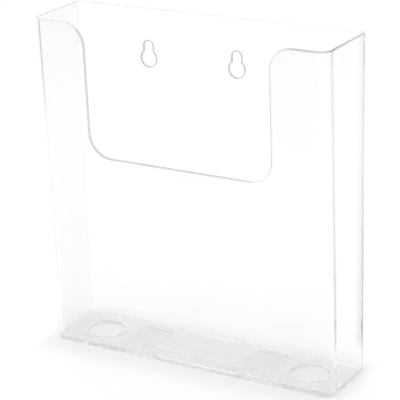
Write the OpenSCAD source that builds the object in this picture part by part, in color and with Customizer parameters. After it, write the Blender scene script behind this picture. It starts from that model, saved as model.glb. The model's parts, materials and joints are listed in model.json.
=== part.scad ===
// Magazine rack: a clear pocket for A4 magazines and leaflets.
// Flat panels and two bent-corner panels are bonded edge to edge on a base plate.
// The front leans out towards the top, and the back hangs on two screws.
//
// Origin: middle of the overall width and depth, on the surface the rack stands on.
// +X to the right, +Y towards the wall the rack hangs on, +Z up. Millimetres.

/* [Rack] */
// Outside width
rack_w = 235; // [215:1:300]
// Outside height
rack_h = 253; // [225:1:300]
// Outside depth at the top edge
top_depth = 62; // [58:0.5:90]
// Outside depth at the base plate
base_depth = 55.5; // [50:0.5:58]
// Thickness of the upright panels
wall = 2.5; // [2:0.1:4]
// Thickness of the base plate
base_t = 3; // [2:0.1:5]
// Outside radius of the two front corners
corner_r = 9; // [6:0.5:12]
// Outside radius of the two back corners
back_corner_r = 4.5; // [4:0.5:12]

/* [Front cut-out] */
// Width between the straight sides of the cut-out
cut_w = 147; // [80:1:150]
// Height of the bottom edge of the cut-out
cut_z = 154.5; // [110:0.5:170]
// Radius of the two lower corners
cut_low_r = 17; // [5:0.5:25]
// Radius where the sides of the cut-out run out into the top edge
cut_top_r = 17.5; // [5:0.5:18]

/* [Keyholes] */
// Distance between the two keyholes
key_pitch = 73.5; // [40:0.5:90]
// Middle of the pair, measured from the middle of the rack
key_offset = -20; // [-30:0.5:30]
// Height of the centre of the round entry
key_z = 215; // [190:0.5:217]
// Radius of the round entry, which passes a screw head
key_entry_r = 6.25; // [5:0.25:8]
// Width of the slot that the screw shank slides into
key_slot_w = 7.5; // [4:0.25:9]
// Height of the slot's round end above the entry's centre, centre to centre
key_rise = 9.5; // [8:0.5:12]

/* [Base] */
// Radius of the two round holes in the base plate
hole_r = 15; // [8:0.5:18]
// Distance of each hole from the middle of the rack
hole_x = 87; // [85:0.5:88]
// Length of the plain centre plaque
plaque_w = 70; // [40:1:72]
// Width of the plain centre plaque, front to back
plaque_d = 24; // [20:1:30]
// Radius of the plaque's corners
plaque_r = 8; // [3:0.5:9]
// Height of the plaque above the base plate
plaque_t = 0.8; // [0.5:0.1:1.5]
// Width of each ribbed pad
pad_w = 26; // [14:2:26]
// Depth of each ribbed pad, front to back
pad_d = 33; // [20:1:34]
// Distance of each pad's middle from the middle of the rack
pad_x = 50; // [50:0.5:51]
// Length of each stop rib behind the pads
rib_len = 21; // [10:1:26]
// Thickness of each stop rib
rib_t = 1.4; // [1:0.1:2]
// Height of each stop rib above the base plate
rib_h = 2; // [1:0.1:4]

/* [Hidden] */
$fn = 96;

// The overall depth is the depth at the top, and it is centred on the origin
back_y = top_depth / 2;
base_front_y = back_y - base_depth;
base_mid_y = back_y - base_depth / 2;
lean = atan((top_depth - base_depth) / (rack_h - base_t));

// Distance from the front of a leaning panel to its bonded edge, measured level
lean_corner = corner_r / cos(lean);

// Cuts run this far past the faces they leave through
past = 5;

// Ribs of the pads: height of the flat pad, height of a ridge on it, and spacing
pad_skin = 0.4;
ridge_h = 0.4;
ridge_pitch = 2;
ridge_w = 1;

// Centre of the pads, and of the stop ribs behind them
pad_y = base_mid_y - 2.5;
plaque_y = base_mid_y - 1;
rib_y = back_y - 11.7;

clear_tint = [0.93, 0.95, 0.96, 0.35];
ribbed_tint = [0.86, 0.88, 0.89, 0.5];

// Plan of a flat panel whose two ends turn through a quarter circle.
// The outer face lies on y = 0 and the ends point along +y.
module bent_panel_plan(radius) {
    flat_w = rack_w - 2 * radius;
    translate([-flat_w / 2, 0])
        square([flat_w, wall]);
    for (side = [-1, 1])
        translate([side * flat_w / 2, radius])
            intersection() {
                difference() {
                    circle(r = radius);
                    circle(r = radius - wall);
                }
                translate([side > 0 ? 0 : -radius, -radius])
                    square(radius);
            }
}

// Everything between the top of the base plate and the top edge of the rack
module wall_zone() {
    translate([-rack_w, -rack_w, base_t])
        cube([2 * rack_w, 2 * rack_w, rack_h - base_t]);
}

// Outline of the front cut-out, width along x and height along y
module cutout_outline() {
    straight_z = cut_z + cut_low_r;
    flare_z = rack_h - cut_top_r;
    translate([-cut_w / 2, straight_z])
        square([cut_w, rack_h + past - straight_z]);
    translate([-cut_w / 2 + cut_low_r, cut_z])
        square([cut_w - 2 * cut_low_r, cut_low_r + 1]);
    for (side = [-1, 1]) {
        translate([side * (cut_w / 2 - cut_low_r), straight_z])
            circle(r = cut_low_r);
        difference() {
            translate([side > 0 ? cut_w / 2 - 1 : -cut_w / 2 - cut_top_r, flare_z])
                square([cut_top_r + 1, cut_top_r + past]);
            translate([side * (cut_w / 2 + cut_top_r), flare_z])
                circle(r = cut_top_r);
        }
    }
}

// Leaning front with its two rounded corners and the finger cut-out
module front_panel() {
    color(clear_tint)
        difference() {
            intersection() {
                translate([0, base_front_y, base_t])
                    rotate([lean, 0, 0])
                        translate([0, 0, -past])
                            linear_extrude(rack_h + 2 * past)
                                bent_panel_plan(corner_r);
                wall_zone();
            }
            translate([0, base_front_y + corner_r + past, 0])
                rotate([90, 0, 0])
                    linear_extrude(top_depth)
                        cutout_outline();
        }
}

// Flat end wall. Its front edge follows the lean of the front panel.
module side_panel(side) {
    outer_x = side * rack_w / 2;
    rear_y = back_y - back_corner_r;
    color(clear_tint)
        translate([side > 0 ? outer_x - wall : outer_x, 0, 0])
            rotate([90, 0, 90])
                linear_extrude(wall)
                    polygon([
                        [base_front_y + lean_corner, base_t],
                        [rear_y, base_t],
                        [rear_y, rack_h],
                        [back_y - top_depth + lean_corner, rack_h]
                    ]);
}

module left_side() {
    side_panel(-1);
}

module right_side() {
    side_panel(1);
}

// One keyhole: a round entry below and a narrower slot that rises from it
module keyhole() {
    rotate([90, 0, 0]) {
        cylinder(r = key_entry_r, h = 4 * wall, center = true);
        translate([0, key_rise, 0])
            cylinder(r = key_slot_w / 2, h = 4 * wall, center = true);
        translate([-key_slot_w / 2, 0, -2 * wall])
            cube([key_slot_w, key_rise, 4 * wall]);
    }
}

// Upright back with its two rounded corners and the pair of keyholes
module back_panel() {
    color(clear_tint)
        difference() {
            translate([0, back_y, base_t])
                mirror([0, 1, 0])
                    linear_extrude(rack_h - base_t)
                        bent_panel_plan(back_corner_r);
            for (side = [-1, 1])
                translate([key_offset + side * key_pitch / 2, back_y - wall / 2, key_z])
                    keyhole();
        }
}

// Rectangle centred on the origin, with round corners that may differ from front to back
module rounded_plate(width, depth, front_r, back_r) {
    translate([-width / 2, front_r - depth / 2])
        square([width, depth - front_r - back_r]);
    translate([front_r - width / 2, -depth / 2])
        square([width - 2 * front_r, front_r]);
    translate([back_r - width / 2, depth / 2 - back_r])
        square([width - 2 * back_r, back_r]);
    for (side = [-1, 1]) {
        translate([side * (width / 2 - front_r), front_r - depth / 2])
            circle(r = front_r);
        translate([side * (width / 2 - back_r), depth / 2 - back_r])
            circle(r = back_r);
    }
}

// Flat plate under the walls, flush with their outer faces, with two round holes
module base_plate() {
    color(clear_tint)
        difference() {
            translate([0, base_mid_y, 0])
                linear_extrude(base_t)
                    rounded_plate(rack_w, base_depth, corner_r, back_corner_r);
            for (side = [-1, 1])
                translate([side * hole_x, base_mid_y, -past])
                    cylinder(r = hole_r, h = base_t + 2 * past);
        }
}

// Plain raised plaque in the middle of the pocket floor
module centre_plaque() {
    color(clear_tint)
        translate([0, plaque_y, base_t])
            linear_extrude(plaque_t)
                rounded_plate(plaque_w, plaque_d, plaque_r, plaque_r);
}

// Thin pad with a row of fine ridges that run front to back
module ribbed_pad(side) {
    ridges = floor((pad_w - ridge_w) / ridge_pitch);
    color(ribbed_tint)
        translate([side * pad_x, pad_y, base_t]) {
            translate([-pad_w / 2, -pad_d / 2, 0])
                cube([pad_w, pad_d, pad_skin]);
            for (i = [0 : ridges])
                translate([(i - ridges / 2) * ridge_pitch - ridge_w / 2, -pad_d / 2, 0])
                    cube([ridge_w, pad_d, pad_skin + ridge_h]);
        }
}

module ribbed_pad_left() {
    ribbed_pad(-1);
}

module ribbed_pad_right() {
    ribbed_pad(1);
}

// Low rib behind a pad that keeps the foot of a magazine off the back panel
module stop_rib(side) {
    color(clear_tint)
        translate([side * pad_x - rib_len / 2, rib_y - rib_t / 2, base_t])
            cube([rib_len, rib_t, rib_h]);
}

module stop_rib_left() {
    stop_rib(-1);
}

module stop_rib_right() {
    stop_rib(1);
}

front_panel();
left_side();
right_side();
back_panel();
base_plate();
centre_plaque();
ribbed_pad_left();
ribbed_pad_right();
stop_rib_left();
stop_rib_right();
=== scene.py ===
"""Looks of the clear magazine rack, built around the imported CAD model. Metres, +Z up."""
import json
import math

import bmesh
import bpy
from mathutils import Matrix, Vector
from mathutils.geometry import delaunay_2d_cdt

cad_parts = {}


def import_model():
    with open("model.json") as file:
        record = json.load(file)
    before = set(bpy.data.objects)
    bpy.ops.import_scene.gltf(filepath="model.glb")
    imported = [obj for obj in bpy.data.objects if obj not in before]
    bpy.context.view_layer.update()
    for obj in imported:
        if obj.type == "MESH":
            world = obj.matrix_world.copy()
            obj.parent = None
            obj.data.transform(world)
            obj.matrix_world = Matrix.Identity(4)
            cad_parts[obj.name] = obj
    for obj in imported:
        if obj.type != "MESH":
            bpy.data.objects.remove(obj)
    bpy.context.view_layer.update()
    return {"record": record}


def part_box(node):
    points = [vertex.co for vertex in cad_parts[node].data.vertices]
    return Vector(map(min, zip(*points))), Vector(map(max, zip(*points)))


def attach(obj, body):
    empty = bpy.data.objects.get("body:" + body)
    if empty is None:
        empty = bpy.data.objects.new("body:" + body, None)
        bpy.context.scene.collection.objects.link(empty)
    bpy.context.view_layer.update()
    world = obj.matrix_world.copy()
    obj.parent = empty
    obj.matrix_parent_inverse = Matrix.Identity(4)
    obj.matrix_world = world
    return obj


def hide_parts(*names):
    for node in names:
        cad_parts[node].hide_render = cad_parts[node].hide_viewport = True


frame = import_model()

MM = 0.001

# ---------------------------------------------------------------- sizes from the frame

front_low, front_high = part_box("front_panel")
back_low, back_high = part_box("back_panel")
base_low, base_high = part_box("base_plate")
left_low, left_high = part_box("left_side")
plaque_low, plaque_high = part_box("centre_plaque")

RACK_W = base_high.x - base_low.x
TOP_Z = front_high.z
BASE_T = base_high.z
BACK_Y = base_high.y
BASE_FRONT_Y = base_low.y
BASE_MID_Y = (base_low.y + base_high.y) / 2
WALL = left_high.x - left_low.x
LEAN_RISE = (BASE_FRONT_Y - front_low.y) / (TOP_Z - BASE_T)
LEAN = math.atan(LEAN_RISE)
FRONT_R = (front_high.y - BASE_FRONT_Y) * math.cos(LEAN)
BACK_R = back_high.y - back_low.y

# Front cut-out, keyhole slots and base holes, as in the CAD source
CUT_W = 147 * MM
CUT_Z = 154.5 * MM
CUT_LOW_R = 17 * MM
CUT_TOP_R = 17.5 * MM
KEY_SLOT_HALF = 3.75 * MM
KEY_RISE = 9.5 * MM
HOLE_R = 15 * MM
HOLE_X = 87 * MM
PLAQUE_R = 8 * MM
RIB_CORNER_R = 0.6 * MM
keyholes = [m for m in frame["record"]["mounts"] if m["name"].startswith("keyhole")]

# Rounding of polished edges, and how finely curves are divided
PANEL_EDGE_R = 1.0 * MM
EDGE_R = 0.4 * MM
KEY_EDGE_R = 0.7 * MM
EDGE_STEPS = 4
BEND_STEPS = 28
ARC_STEPS = 20
PAD_RIDGES = 13
RIDGE_STEPS = 10
RIDGE_SHARE = 0.15

# Bonded faces stop this far short of each other, so that light crosses one and then the other
SEAM = 0.01 * MM

CLEAR, BOND, RIM, HOLE_RIM = 0, 1, 2, 3


# ---------------------------------------------------------------- mesh building

class Skin:
    """Points with their surface normals, and faces, of one closed piece."""

    def __init__(self):
        self.points = []
        self.normals = []
        self.faces = []

    def point(self, position, normal):
        self.points.append(Vector(position))
        self.normals.append(Vector(normal).normalized())
        return len(self.points) - 1

    def face(self, corners, finish=CLEAR, flat=False):
        self.faces.append((list(corners), finish, flat))

    def strip(self, row_a, row_b, finish=CLEAR, flat=False, closed=False):
        """Quads between two rows of the same number of points."""
        count = len(row_a)
        for i in range(count if closed else count - 1):
            j = (i + 1) % count
            self.face([row_a[i], row_a[j], row_b[j], row_b[i]], finish, flat)

    def fill(self, plan, outer, holes=(), patches=(), inner=None):
        """Triangles over a flat face. plan gives a point's 2D place. holes stay open, patches and
        the border outside inner are bonded to another piece."""
        loops = [outer] + ([inner] if inner else []) + list(holes) + list(patches)
        first_hole = 2 if inner else 1
        first_patch = first_hole + len(holes)
        flat_list = [index for loop in loops for index in loop]
        places = [Vector(plan(index)) for index in flat_list]
        polygons = []
        start = 0
        for loop in loops:
            polygons.append(list(range(start, start + len(loop))))
            start += len(loop)
        verts, _, faces, orig_verts, _, orig_faces = delaunay_2d_cdt(places, [], polygons, 0, 1e-9)
        for corners, owners in zip(faces, orig_faces):
            if not owners or any(first_hole <= owner < first_patch for owner in owners):
                continue
            bonded = any(owner >= first_patch for owner in owners)
            bonded = bonded or (inner is not None and 1 not in owners)
            finish = BOND if bonded else CLEAR
            self.face([flat_list[orig_verts[corner][0]] for corner in corners], finish, True)

    def build(self, name, materials):
        """The mesh object, with its outward side worked out and its corner normals set."""
        shape = bmesh.new()
        verts = [shape.verts.new(p) for p in self.points]
        for corners, finish, _ in self.faces:
            made = shape.faces.new([verts[c] for c in corners])
            made.material_index = finish
            made.smooth = True
        bmesh.ops.recalc_face_normals(shape, faces=shape.faces)
        open_edges = [e for e in shape.edges if len(e.link_faces) != 2]
        if open_edges:
            raise RuntimeError(f"{name} is not closed: {len(open_edges)} edges")
        if shape.calc_volume(signed=True) < 0:
            bmesh.ops.reverse_faces(shape, faces=shape.faces)
        mesh = bpy.data.meshes.new(name)
        shape.to_mesh(mesh)
        shape.free()
        corner_normals = []
        for polygon, (_, _, flat) in zip(mesh.polygons, self.faces):
            for vertex in polygon.vertices:
                corner_normals.append(polygon.normal.copy() if flat else self.normals[vertex])
        mesh.normals_split_custom_set(corner_normals)
        piece = bpy.data.objects.new(name, mesh)
        bpy.context.scene.collection.objects.link(piece)
        for material in materials:
            mesh.materials.append(material)
        return piece


def rounding(thickness, radius=EDGE_R, low=True, high=True):
    """Profile of an edge across the thickness: (inset, depth, share of face normal, share of rim
    normal) from the first face to the second. A sharp edge has no rounding."""
    steps = []
    if low:
        for k in range(EDGE_STEPS + 1):
            turn = math.pi / 2 * k / EDGE_STEPS
            steps.append((radius * (1 - math.sin(turn)), radius * (1 - math.cos(turn)),
                          math.cos(turn), math.sin(turn)))
    else:
        steps.append((0, 0, 0, 1))
    if high:
        for k in range(EDGE_STEPS, -1, -1):
            turn = math.pi / 2 * k / EDGE_STEPS
            steps.append((radius * (1 - math.sin(turn)), thickness - radius * (1 - math.cos(turn)),
                          -math.cos(turn), math.sin(turn)))
    else:
        steps.append((0, thickness, 0, 1))
    return steps


def arc(centre, radius, start, end, inward=False, steps=ARC_STEPS):
    """Outline points (place, normal) on an arc. The normal points away from the centre unless inward."""
    sign = -1 if inward else 1
    made = []
    for k in range(steps + 1):
        turn = start + (end - start) * k / steps
        ray = Vector((math.cos(turn), math.sin(turn)))
        made.append((Vector(centre) + radius * ray, sign * ray))
    return made


def rounded_rectangle(width, depth, front_r, back_r, centre=(0, 0), steps=ARC_STEPS):
    """Closed outline with outward normals."""
    made = []
    for k, (sx, sy) in enumerate(((1, 1), (-1, 1), (-1, -1), (1, -1))):
        radius = back_r if sy > 0 else front_r
        corner = (centre[0] + sx * (width / 2 - radius), centre[1] + sy * (depth / 2 - radius))
        made += arc(corner, radius, k * math.pi / 2, (k + 1) * math.pi / 2, steps=steps)
    return made


def rim_rows(skin, path, profile, place, face_normal, rim_normal):
    """One row of points along path for each step of an edge profile."""
    rows = []
    for inset, depth, face_share, rim_share in profile:
        row = []
        for spot, outward, *stretch in path:
            scale = stretch[0] if stretch else 1
            where = spot - outward * inset * scale
            normal = face_share * face_normal(spot) + rim_share * rim_normal(spot, outward)
            row.append(skin.point(place(where, depth), normal))
        rows.append(row)
    return rows


def sheet(name, materials, place, face_normal, rim_normal, side_runs, top_path, edge_r,
          holes=()):
    """A panel of even thickness that stands on its bottom edge. Places are (along, height), and
    place maps them with a depth to space. Its top path is rounded and polished. Its bottom and its
    two ends are bonded. side_runs holds the two columns of bends, each from the panel's end to the
    flat part, and may hold one column only."""
    skin = Skin()
    profile = rounding(WALL, edge_r)
    rows = rim_rows(skin, top_path, profile, place, face_normal, rim_normal)
    along = [spot.x for spot, *_ in top_path]
    left_count = len(side_runs[0])
    right_start = len(top_path) - len(side_runs[1])
    columns = list(range(left_count)) + list(range(right_start, len(top_path)))
    feet = []
    for depth, share in ((0, 1), (WALL, -1)):
        foot = []
        for i in columns:
            spot = Vector((along[i], BASE_T + SEAM))
            foot.append(skin.point(place(spot, depth), share * face_normal(spot)))
        feet.append(foot)
    hole_profile = rounding(WALL, KEY_EDGE_R)
    hole_rows = [rim_rows(skin, path, hole_profile, place, face_normal, rim_normal) for path in holes]
    flat_index = {}

    for face, foot, row in ((0, feet[0], rows[0]), (1, feet[1], rows[-1])):
        for a in range(left_count - 1):
            skin.face([foot[a], foot[a + 1], row[a + 1], row[a]])
        for a in range(len(side_runs[1]) - 1):
            b = left_count + a
            skin.face([foot[b], foot[b + 1], row[right_start + a + 1], row[right_start + a]])
        outline = [foot[left_count - 1], foot[left_count]]
        outline += list(reversed(row[left_count - 1:right_start + 1]))
        inset = profile[0][0]
        spots = [Vector((along[left_count - 1], BASE_T)), Vector((along[right_start], BASE_T))]
        spots += [spot - outward * inset
                  for spot, outward in reversed([p[:2] for p in top_path[left_count - 1:right_start + 1]])]
        for index, spot in zip(outline, spots):
            flat_index[index] = spot
        hole_loops = []
        for path, made in zip(holes, hole_rows):
            loop = made[0] if face == 0 else made[-1]
            for index, (spot, outward, *stretch) in zip(loop, path):
                scale = stretch[0] if stretch else 1
                flat_index[index] = spot - outward * hole_profile[0][0] * scale
            hole_loops.append(loop)
        skin.fill(lambda index: flat_index[index], outline, hole_loops)

    for a, b in zip(rows, rows[1:]):
        skin.strip(a, b, RIM)
    for made in hole_rows:
        for a, b in zip(made, made[1:]):
            skin.strip(a, b, HOLE_RIM, closed=True)
    skin.strip(feet[0], feet[1], BOND, True)
    for end in (0, -1):
        skin.face([feet[0][end]] + [row[end] for row in rows] + [feet[1][end]], BOND, True)
    return skin.build(name, materials)


def slab(name, materials, outline, low_z, profile, holes=(), patches=(), inner=None, bonded_bottom=False):
    """A flat plate with an outline, through holes, and patches of its top that others are bonded to."""
    skin = Skin()
    up = Vector((0, 0, 1))
    high_z = low_z + profile[-1][1]

    def place(spot, depth):
        return (spot.x, spot.y, low_z + depth)

    def down(spot):
        return -up

    def outward(spot, normal):
        return Vector((normal.x, normal.y, 0))

    rows = rim_rows(skin, outline, profile, place, down, outward)
    both = rounding(high_z - low_z)
    hole_rows = [rim_rows(skin, path, both, place, down, outward) for path in holes]
    plan = lambda index: skin.points[index].to_2d()
    loops = [[skin.point((spot.x, spot.y, high_z), up) for spot, _ in path] for path in patches]
    inner_loop = [skin.point((spot.x, spot.y, high_z), up) for spot, _ in inner] if inner else None
    skin.fill(plan, rows[-1], [made[-1] for made in hole_rows], loops, inner_loop)
    if bonded_bottom:
        skin.face(rows[0], BOND, True)
    else:
        skin.fill(plan, rows[0], [made[0] for made in hole_rows])
    for a, b in zip(rows, rows[1:]):
        skin.strip(a, b, RIM, closed=True)
    for made in hole_rows:
        for a, b in zip(made, made[1:]):
            skin.strip(a, b, RIM, closed=True)
    return skin.build(name, materials)


# ---------------------------------------------------------------- materials

IOR = 1.50


def node(tree, kind, **values):
    made = tree.nodes.new(kind)
    for key, value in values.items():
        if key in made.inputs:
            made.inputs[key].default_value = value
        else:
            setattr(made, key, value)
    return made


def noise(tree, place, scale, detail=2.0):
    """A cloudy pattern from 0 to 1 over the piece, scale features to the metre."""
    made = node(tree, "ShaderNodeTexNoise", Scale=scale, Detail=detail, Roughness=0.5)
    tree.links.new(place, made.inputs["Vector"])
    return made.outputs["Fac"]


def between(tree, share, low, high):
    """A colour that runs from low to high, sockets or colours, with a share from 0 to 1."""
    made = node(tree, "ShaderNodeMix", data_type="RGBA")
    for value, entry in ((low, made.inputs[6]), (high, made.inputs[7])):
        if isinstance(value, bpy.types.NodeSocket):
            tree.links.new(value, entry)
        else:
            entry.default_value = value
    tree.links.new(share, made.inputs["Factor"])
    return made.outputs[2]


def painted_edge_shade(tree, place, stops):
    """Painted shade on a polished edge: a grey that runs through stops of (x, tone) from the rack's
    left end to its right end, and lightens toward the back. It copies how the edge is lit."""
    axes = node(tree, "ShaderNodeSeparateXYZ")
    across = node(tree, "ShaderNodeMapRange", **{"From Min": -RACK_W / 2, "From Max": RACK_W / 2})
    back = node(tree, "ShaderNodeMapRange", **{"From Min": BASE_FRONT_Y, "From Max": BACK_Y})
    ramp = node(tree, "ShaderNodeValToRGB")
    elements = ramp.color_ramp.elements
    for x, tone in stops[1:-1]:
        elements.new(x / RACK_W + 0.5).color = (tone, tone, tone, 1)
    for element, (_, tone) in ((elements[0], stops[0]), (elements[len(elements) - 1], stops[-1])):
        element.color = (tone, tone, tone, 1)
    tree.links.new(place, axes.inputs[0])
    tree.links.new(axes.outputs["X"], across.inputs["Value"])
    tree.links.new(axes.outputs["Y"], back.inputs["Value"])
    tree.links.new(across.outputs["Result"], ramp.inputs[0])
    return between(tree, back.outputs["Result"], ramp.outputs[0], BACK_EDGE_SHADE)


def clear_material(name, tint, roughness, lamp_share=0.95, wave=0.0, scale=14.0, shade_stops=None):
    """Clear plastic that bends what is seen through it and lets lamps through. The tint drifts a
    little over the piece, fine handling haze comes and goes, and the skin is slightly wavy over
    wave metres. With shade_stops, polished edges also get painted shade that runs along the rack."""
    material = bpy.data.materials.new(name)
    material.use_nodes = True
    tree = material.node_tree
    tree.nodes.clear()
    place = node(tree, "ShaderNodeTexCoord").outputs["Object"]
    shader = node(tree, "ShaderNodeBsdfPrincipled", **{"IOR": IOR, "Transmission Weight": 1.0})
    cloudy = noise(tree, place, scale)
    pale = between(tree, cloudy, tuple(c * TINT_DRIFT for c in tint) + (1,), tint + (1,))
    # Painted shade along the rack, multiplied into the edge's tint.
    if shade_stops:
        both = node(tree, "ShaderNodeMix", data_type="RGBA", blend_type="MULTIPLY", Factor=1.0)
        tree.links.new(pale, both.inputs[6])
        tree.links.new(painted_edge_shade(tree, place, shade_stops), both.inputs[7])
        pale = both.outputs[2]
    tree.links.new(pale, shader.inputs["Base Color"])
    haze = node(tree, "ShaderNodeMapRange", **{
        "From Min": 0.55, "From Max": 0.80, "To Min": roughness, "To Max": roughness + HAZE})
    tree.links.new(noise(tree, place, scale * 9, 5.0), haze.inputs["Value"])
    tree.links.new(haze.outputs["Result"], shader.inputs["Roughness"])
    if wave:
        bump = node(tree, "ShaderNodeBump", Strength=1.0, Distance=wave)
        tree.links.new(cloudy, bump.inputs["Height"])
        tree.links.new(bump.outputs["Normal"], shader.inputs["Normal"])
    through = node(tree, "ShaderNodeBsdfTransparent", Color=(lamp_share,) * 3 + (1,))
    ray = node(tree, "ShaderNodeLightPath")
    mix = node(tree, "ShaderNodeMixShader")
    out = node(tree, "ShaderNodeOutputMaterial")
    tree.links.new(ray.outputs["Is Shadow Ray"], mix.inputs[0])
    tree.links.new(shader.outputs[0], mix.inputs[1])
    tree.links.new(through.outputs[0], mix.inputs[2])
    tree.links.new(mix.outputs[0], out.inputs["Surface"])
    return material


def bond_material():
    """The inside of a bonded seam: light passes from one piece into the next unchanged."""
    material = bpy.data.materials.new("bonded_seam")
    material.use_nodes = True
    tree = material.node_tree
    tree.nodes.clear()
    through = node(tree, "ShaderNodeBsdfTransparent", Color=(1, 1, 1, 1))
    out = node(tree, "ShaderNodeOutputMaterial")
    tree.links.new(through.outputs[0], out.inputs["Surface"])
    return material


TINT_DRIFT = 0.985
HAZE = 0.03
# Painted shade: the polished edge's grey toward the back of the rack.
BACK_EDGE_SHADE = (0.88, 0.88, 0.88, 1)
# Painted shade of the polished edge at places along X. It copies how the edge is lit from one side
# and is not a property of the plastic: for other light, set every tone to 1.
EDGE_SHADE_STOPS = ((-RACK_W / 2, 0.93), (-85 * MM, 0.92), (-78 * MM, 0.56), (50 * MM, 0.56),
              (66 * MM, 0.90), (78 * MM, 0.84), (92 * MM, 0.36), (RACK_W / 2, 0.42))
clear_panel = clear_material("clear_panel", (0.98, 0.985, 0.985), 0.0, wave=0.02 * MM)
# The left end wall's greyer tint is painted shade. The plastic itself is clear_panel.
shaded_grey_panel = clear_material("shaded_grey_panel", (0.94, 0.945, 0.945), 0.0, wave=0.02 * MM)
clear_base = clear_material("clear_base", (0.955, 0.96, 0.96), 0.0, lamp_share=0.90, wave=0.02 * MM)
# Polished edge of the front panel and both end walls, carrying the painted edge shade.
shaded_polished_rim = clear_material("shaded_polished_rim", (0.985, 0.99, 0.99), 0.0, shade_stops=EDGE_SHADE_STOPS)
faint_rim = clear_material("faint_rim", (0.99, 0.995, 0.995), 0.6)
keyhole_rim = clear_material("keyhole_rim", (0.50, 0.51, 0.515), 0.45)
base_rim = clear_material("base_rim", (0.92, 0.93, 0.935), 0.28)
frosted_side = clear_material("frosted_side", (0.96, 0.965, 0.965), 0.7)
ribbed_clear = clear_material("ribbed_clear", (0.93, 0.94, 0.945), 0.18, lamp_share=0.88, scale=60.0)
bonded_seam = bond_material()
PANEL_SET = (clear_panel, bonded_seam, shaded_polished_rim)
LEFT_SET = (shaded_grey_panel, bonded_seam, shaded_polished_rim)
BACK_SET = (clear_panel, bonded_seam, faint_rim, keyhole_rim)
BASE_SET = (clear_base, bonded_seam, base_rim)
RAISED_SET = (clear_base, bonded_seam, frosted_side)
RIB_SET = (clear_base, bonded_seam, clear_base)
RIBBED_SET = (ribbed_clear, bonded_seam, frosted_side)


# ---------------------------------------------------------------- panels

def bend(along, depth, corner_r):
    """Plan place and outward normal of a panel with bent ends, in the panel's own plan."""
    flat_half = RACK_W / 2 - corner_r
    over = abs(along) - flat_half
    side = math.copysign(1, along)
    if over <= 0:
        return Vector((along, depth)), Vector((0, -1))
    turn = over / corner_r
    radius = corner_r - depth
    spot = Vector((side * (flat_half + radius * math.sin(turn)), corner_r - radius * math.cos(turn)))
    return spot, Vector((side * math.sin(turn), -math.cos(turn)))


def bend_runs(corner_r):
    """Places along a panel over its left bend and over its right one, from left to right."""
    flat_half = RACK_W / 2 - corner_r
    right_run = [flat_half + corner_r * math.pi / 2 * k / BEND_STEPS for k in range(BEND_STEPS + 1)]
    return [-along for along in reversed(right_run)], right_run


UPWARD = Vector((0, 1))


def level_run(run):
    """Top edge points over a run of columns."""
    return [(Vector((along, TOP_Z)), UPWARD) for along in run]


def front_panel():
    left_run, right_run = bend_runs(FRONT_R)

    def place(spot, depth):
        plan, _ = bend(spot.x, depth, FRONT_R)
        y = BASE_FRONT_Y + plan.y / math.cos(LEAN) - (spot.y - BASE_T) * LEAN_RISE
        return (plan.x, y, spot.y)

    def face_normal(spot):
        _, normal = bend(spot.x, 0, FRONT_R)
        return Vector((normal.x, normal.y * math.cos(LEAN), normal.y * math.sin(LEAN)))

    def rim_normal(spot, outward):
        return Vector((outward.x, 0, outward.y))

    half = CUT_W / 2
    left_side = arc((-half - CUT_TOP_R, TOP_Z - CUT_TOP_R), CUT_TOP_R, math.pi / 2, 0)
    left_side += arc((-half + CUT_LOW_R, CUT_Z + CUT_LOW_R), CUT_LOW_R, math.pi, 1.5 * math.pi, inward=True)
    right_side = [(Vector((-spot.x, spot.y)), Vector((-normal.x, normal.y)))
                  for spot, normal in reversed(left_side)]
    path = level_run(left_run) + left_side + right_side + level_run(right_run)
    return sheet("front_panel_clear", PANEL_SET, place, face_normal, rim_normal, (left_run, right_run), path,
                 PANEL_EDGE_R)


def keyhole_path(mount):
    """Outline of a keyhole with normals into the hole. The two neck corners carry a mitre scale."""
    x, _, z = mount["pos_m"]
    radius = mount["dims"]["r_mm"] * MM
    neck = math.acos(KEY_SLOT_HALF / radius)
    made = arc((x, z + KEY_RISE), KEY_SLOT_HALF, 0, math.pi, inward=True)
    entry = arc((x, z), radius, math.pi - neck, 2 * math.pi + neck, inward=True, steps=2 * ARC_STEPS)
    for end, slot_normal in ((0, Vector((1, 0))), (-1, Vector((-1, 0)))):
        spot, normal = entry[end]
        middle = (normal + slot_normal).normalized()
        entry[end] = (spot, middle, 1 / middle.dot(normal))
    return made + entry


def back_panel():
    left_run, right_run = bend_runs(BACK_R)

    def place(spot, depth):
        plan, _ = bend(spot.x, depth, BACK_R)
        return (plan.x, BACK_Y - plan.y, spot.y)

    def face_normal(spot):
        _, normal = bend(spot.x, 0, BACK_R)
        return Vector((normal.x, -normal.y, 0))

    def rim_normal(spot, outward):
        return Vector((outward.x, 0, outward.y))

    path = level_run(left_run) + level_run(right_run)
    return sheet("back_panel_clear", BACK_SET, place, face_normal, rim_normal, (left_run, right_run), path,
                 PANEL_EDGE_R, [keyhole_path(m) for m in keyholes])


def side_panel(side, name):
    """Flat end wall. Its front edge follows the lean of the front panel."""
    rear_y = BACK_Y - BACK_R

    def front_edge(z):
        return BASE_FRONT_Y + FRONT_R / math.cos(LEAN) - (z - BASE_T) * LEAN_RISE

    length = rear_y - front_edge(TOP_Z)

    def place(spot, depth):
        share = spot.x / length
        y = front_edge(spot.y) * (1 - share) + rear_y * share
        return (side * (RACK_W / 2 - depth), y, spot.y)

    def face_normal(spot):
        return Vector((side, 0, 0))

    def rim_normal(spot, outward):
        return Vector((0, outward.x, outward.y))

    materials = LEFT_SET if side < 0 else PANEL_SET
    return sheet(name, materials, place, face_normal, rim_normal, ([SEAM], [length - SEAM]),
                 level_run([SEAM, length - SEAM]), PANEL_EDGE_R)


def rectangle(low, high):
    """Square-cornered closed outline."""
    corners = ((high.x, high.y), (low.x, high.y), (low.x, low.y), (high.x, low.y))
    return [(Vector(corner), Vector((0, 0))) for corner in corners]


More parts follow.
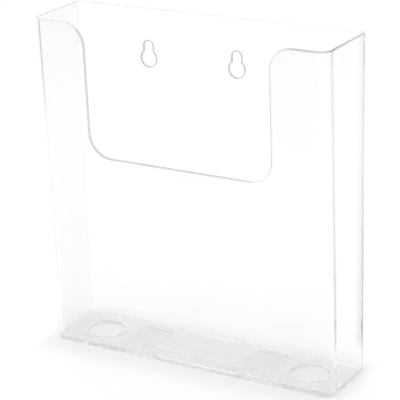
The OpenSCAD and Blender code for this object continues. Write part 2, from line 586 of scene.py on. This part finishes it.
def plaque_outline():
    width, depth, _ = plaque_high - plaque_low
    centre = (plaque_low + plaque_high) / 2
    return rounded_rectangle(width, depth, PLAQUE_R, PLAQUE_R, centre[:2])


def base_plate():
    depth = base_high.y - base_low.y
    middle = (0, BASE_MID_Y)
    outline = rounded_rectangle(RACK_W, depth, FRONT_R, BACK_R, middle, BEND_STEPS)
    inner = rounded_rectangle(RACK_W - 2 * WALL, depth - 2 * WALL, FRONT_R - WALL, BACK_R - WALL,
                              middle, BEND_STEPS)
    holes = []
    for side in (-1, 1):
        ring = arc((side * HOLE_X, BASE_MID_Y), HOLE_R, 0, 2 * math.pi, inward=True, steps=4 * ARC_STEPS)
        holes.append(ring[:-1])
    patches = [plaque_outline()]
    for name in ("ribbed_pad_left", "ribbed_pad_right", "stop_rib_left", "stop_rib_right"):
        patches.append(rectangle(*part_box(name)))
    return slab("base_plate_clear", BASE_SET, outline, 0, rounding(BASE_T, high=False), holes, patches, inner)


def centre_plaque():
    height = plaque_high.z - plaque_low.z - SEAM
    return slab("centre_plaque_clear", RAISED_SET, plaque_outline(), plaque_low.z + SEAM,
                rounding(height, low=False), bonded_bottom=True)


def stop_rib(side):
    low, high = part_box(f"stop_rib_{side}")
    size = high - low
    centre = (low + high) / 2
    outline = rounded_rectangle(size.x, size.y, RIB_CORNER_R, RIB_CORNER_R, centre[:2], EDGE_STEPS)
    return slab(f"stop_rib_{side}_clear", RIB_SET, outline, low.z + SEAM,
                rounding(size.z - SEAM, low=False), bonded_bottom=True)


def ribbed_pad(side):
    """Thin pad whose top rolls in fine round ridges that run front to back."""
    low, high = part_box(f"ribbed_pad_{side}")
    width, _, full = high - low
    flat = full / (1 + RIDGE_SHARE)
    wave_height = full - flat
    steps = PAD_RIDGES * RIDGE_STEPS
    skin = Skin()
    rows = []
    for y in (low.y, high.y):
        row = []
        for k in range(steps + 1):
            phase = 2 * math.pi * k / RIDGE_STEPS
            rise = wave_height * (0.5 - 0.5 * math.cos(phase))
            steepness = wave_height * 0.5 * math.sin(phase) * 2 * math.pi * PAD_RIDGES / width
            row.append(skin.point((low.x + width * k / steps, y, low.z + flat + rise), (-steepness, 0, 1)))
        rows.append(row)
    feet = [[skin.point((x, y, low.z + SEAM), (0, 0, -1)) for x in (low.x, high.x)] for y in (low.y, high.y)]
    skin.strip(rows[0], rows[1])
    skin.face([feet[0][0], feet[0][1], feet[1][1], feet[1][0]], BOND, True)
    for end in (0, 1):
        skin.face([feet[end][0]] + rows[end] + [feet[end][1]], RIM, True)
    for foot, top in ((0, 0), (1, -1)):
        skin.face([feet[0][foot], rows[0][top], rows[1][top], feet[1][foot]], RIM, True)
    return skin.build(f"ribbed_pad_{side}_clear", RIBBED_SET)


made = {
    "front_panel": (front_panel(), "clear_panel"),
    "back_panel": (back_panel(), "clear_panel"),
    "left_side": (side_panel(-1, "left_side_clear"), "clear_panel"),
    "right_side": (side_panel(1, "right_side_clear"), "clear_panel"),
    "base_plate": (base_plate(), "clear_base"),
    "centre_plaque": (centre_plaque(), "clear_base"),
    "ribbed_pad_left": (ribbed_pad("left"), "ribbed_clear"),
    "ribbed_pad_right": (ribbed_pad("right"), "ribbed_clear"),
    "stop_rib_left": (stop_rib("left"), "clear_base"),
    "stop_rib_right": (stop_rib("right"), "clear_base"),
}
for cad_node, (piece, slot_name) in made.items():
    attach(piece, "root")
    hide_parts(cad_node)


# ---------------------------------------------------------------- floor, light and camera

FLOOR_SIZE = 8.0
FLOOR_DROP = 0.05 * MM
FLOOR_WHITE = 0.93
# Painted shadow on the floor around the rack's foot: its darkest tone and how far it reaches each way.
SHADE_TONE = 0.845
SHADE_SIDE = 12 * MM
SHADE_FRONT = 32 * MM
SHADE_BACK = 25 * MM
WORLD_STRENGTH = 0.75
VIEW_AZIMUTH = math.radians(30.27)
CAMERA_ELEVATION = math.radians(20.0)
CAMERA_ROLL = math.radians(-1.62)
CAMERA_PLACE = (0.5788, -0.9911, 0.5406)
CAMERA_LENS = 152.1
LIGHT_BOUNCES = 400
TOP_BACK = 0.5
TOP_WIDTH = 0.8
TOP_LENGTH = 2.2
TOP_HEIGHT = 1.5
TOP_WATTS = 13
CARD_HEIGHT = 0.26
CARD_FADE = 0.15
STUDIO_WHITE = 1.0


def sums(tree, operation, a, b=None):
    """The output of a Math node on sockets or plain numbers."""
    made = tree.nodes.new("ShaderNodeMath")
    made.operation = operation
    for into, value in zip(made.inputs, (a, b)):
        if isinstance(value, (int, float)):
            into.default_value = value
        elif value is not None:
            tree.links.new(value, into)
    return made.outputs[0]


def floor_shade(tree):
    """How far a floor point lies from the foot of the rack, from 0 under it to 1 in the clear. The
    soft shade reaches furthest in front."""
    place = node(tree, "ShaderNodeTexCoord")
    axes = node(tree, "ShaderNodeSeparateXYZ")
    tree.links.new(place.outputs["Object"], axes.inputs[0])
    x, y = axes.outputs["X"], axes.outputs["Y"]
    total = 0.0
    beside = sums(tree, "SUBTRACT", sums(tree, "ABSOLUTE", x), RACK_W / 2)
    in_front = sums(tree, "SUBTRACT", BASE_FRONT_Y, y)
    behind = sums(tree, "SUBTRACT", y, BACK_Y)
    for past, reach in ((beside, SHADE_SIDE), (in_front, SHADE_FRONT), (behind, SHADE_BACK)):
        share = sums(tree, "DIVIDE", sums(tree, "MAXIMUM", past, 0.0), reach)
        total = sums(tree, "ADD", sums(tree, "POWER", share, 2.0), total)
    return sums(tree, "SQRT", total)


def floor():
    mesh = bpy.data.meshes.new("floor")
    half = FLOOR_SIZE / 2
    corners = [(-half, -half), (half, -half), (half, half), (-half, half)]
    mesh.from_pydata([(x, y, -FLOOR_DROP) for x, y in corners], [], [(0, 1, 2, 3)])
    plane = bpy.data.objects.new("floor", mesh)
    bpy.context.scene.collection.objects.link(plane)
    material = bpy.data.materials.new("floor")
    material.use_nodes = True
    tree = material.node_tree
    shader = tree.nodes["Principled BSDF"]
    # Painted shadow: the floor's colour darkens from FLOOR_WHITE to SHADE_TONE toward the rack's foot.
    tone = node(tree, "ShaderNodeMapRange", **{
        "To Min": SHADE_TONE, "To Max": FLOOR_WHITE, "interpolation_type": "SMOOTHSTEP"})
    colour = node(tree, "ShaderNodeCombineColor")
    tree.links.new(floor_shade(tree), tone.inputs["Value"])
    for channel in colour.inputs:
        tree.links.new(tone.outputs["Result"], channel)
    tree.links.new(colour.outputs[0], shader.inputs["Base Color"])
    shader.inputs["Roughness"].default_value = 0.9
    shader.inputs["Specular IOR Level"].default_value = 0.0
    mesh.materials.append(material)


def world():
    scene = bpy.context.scene
    scene.world = bpy.data.worlds.new("studio")
    scene.world.use_nodes = True
    background = scene.world.node_tree.nodes["Background"]
    background.inputs["Color"].default_value = (1, 1, 1, 1)
    background.inputs["Strength"].default_value = WORLD_STRENGTH


def card(name, lateral, near, far, low_tone, high_tone, turn_low=0.0, turn_high=1.0, lip=0.0):
    """A standing card beside the picture, lateral metres to the right of the rack and reaching from
    near to far behind it, with a lip along its foot. The camera and the floor's light pass through
    it, and only what the plastic bends or mirrors shows it. Its two ends fade into the white of the
    studio, and its tone changes between two shares of its height."""
    mesh = bpy.data.meshes.new(name)
    corners = [(near, lip, 0), (far, lip, 0), (far, 0, 0), (near, 0, 0),
               (far, 0, CARD_HEIGHT), (near, 0, CARD_HEIGHT)]
    mesh.from_pydata(corners, [], [(0, 1, 2, 3), (3, 2, 4, 5)] if lip else [(3, 2, 4, 5)])
    plane = bpy.data.objects.new(name, mesh)
    bpy.context.scene.collection.objects.link(plane)
    turn = Matrix.Rotation(VIEW_AZIMUTH + math.pi / 2, 4, "Z")
    plane.matrix_world = turn @ Matrix.Translation((0, -lateral, 0))
    plane.visible_camera = False
    plane.visible_diffuse = False
    plane.visible_shadow = False
    material = bpy.data.materials.new(name)
    material.use_nodes = True
    tree = material.node_tree
    tree.nodes.clear()
    spot = node(tree, "ShaderNodeTexCoord")
    axes = node(tree, "ShaderNodeSeparateXYZ")
    rise = node(tree, "ShaderNodeMapRange", **{
        "From Min": turn_low, "From Max": turn_high, "To Min": low_tone, "To Max": high_tone,
        "interpolation_type": "SMOOTHSTEP"})
    start = node(tree, "ShaderNodeMapRange", **{"From Max": CARD_FADE, "interpolation_type": "SMOOTHSTEP"})
    end = node(tree, "ShaderNodeMapRange", **{
        "From Min": 1.0, "From Max": 1 - CARD_FADE, "interpolation_type": "SMOOTHSTEP"})
    cover = node(tree, "ShaderNodeMath", operation="MULTIPLY")
    tone = node(tree, "ShaderNodeMix", A=STUDIO_WHITE)
    glow = node(tree, "ShaderNodeEmission")
    out = node(tree, "ShaderNodeOutputMaterial")
    tree.links.new(spot.outputs["Generated"], axes.inputs[0])
    tree.links.new(axes.outputs["Z"], rise.inputs["Value"])
    tree.links.new(axes.outputs["X"], start.inputs["Value"])
    tree.links.new(axes.outputs["X"], end.inputs["Value"])
    tree.links.new(start.outputs["Result"], cover.inputs[0])
    tree.links.new(end.outputs["Result"], cover.inputs[1])
    tree.links.new(cover.outputs[0], tone.inputs["Factor"])
    tree.links.new(rise.outputs["Result"], tone.inputs["B"])
    tree.links.new(tone.outputs["Result"], glow.inputs["Strength"])
    tree.links.new(glow.outputs[0], out.inputs["Surface"])
    mesh.materials.append(material)


def cards():
    """Four cards beside the rack, for the main view. They darken the bent corners and the end walls
    there. From other sides they show in the plastic as grey bands, which are not part of the rack."""
    card("right_edge_card", 0.155, -0.016, 0.055, 0.22, 0.65, lip=0.018)
    card("right_rim_card", 0.155, 0.06, 0.125, 0.88, 0.88)
    card("left_edge_card", -0.2, 0.04, 0.12, 0.95, 0.6, 0.5, 0.75)
    card("left_near_card", -0.17, -0.50, 0.0, 1.0, 0.75, 0.0, 0.35)


def lights():
    away = Vector((-math.sin(VIEW_AZIMUTH), math.cos(VIEW_AZIMUTH), 0))
    over = away * TOP_BACK
    data = bpy.data.lights.new("top_softbox", "AREA")
    data.shape = "RECTANGLE"
    data.size = TOP_WIDTH
    data.size_y = TOP_LENGTH
    data.energy = TOP_WATTS
    lamp = bpy.data.objects.new("top_softbox", data)
    bpy.context.scene.collection.objects.link(lamp)
    lamp.location = (over.x, over.y, TOP_HEIGHT)
    lamp.rotation_euler = (0, 0, VIEW_AZIMUTH)


def camera():
    azimuth, elevation, roll = VIEW_AZIMUTH, CAMERA_ELEVATION, CAMERA_ROLL
    back = Vector((math.sin(azimuth) * math.cos(elevation),
                   -math.cos(azimuth) * math.cos(elevation), math.sin(elevation)))
    right = Vector((math.cos(azimuth), math.sin(azimuth), 0))
    up = back.cross(right)
    tilted_right = math.cos(roll) * right + math.sin(roll) * up
    tilted_up = -math.sin(roll) * right + math.cos(roll) * up
    data = bpy.data.cameras.new("camera")
    data.lens = CAMERA_LENS
    data.sensor_width = 36
    data.clip_start = 0.01
    data.clip_end = 50
    shot = bpy.data.objects.new("camera", data)
    bpy.context.scene.collection.objects.link(shot)
    turn = Matrix((tilted_right, tilted_up, back)).transposed()
    shot.matrix_world = Matrix.Translation(CAMERA_PLACE) @ turn.to_4x4()
    bpy.context.scene.camera = shot


floor()
world()
lights()
cards()
camera()
scene = bpy.context.scene
scene.view_settings.view_transform = "Standard"
scene.cycles.max_bounces = LIGHT_BOUNCES
scene.cycles.transmission_bounces = LIGHT_BOUNCES
scene.cycles.glossy_bounces = LIGHT_BOUNCES
scene.cycles.transparent_max_bounces = LIGHT_BOUNCES
scene.cycles.use_denoising = True
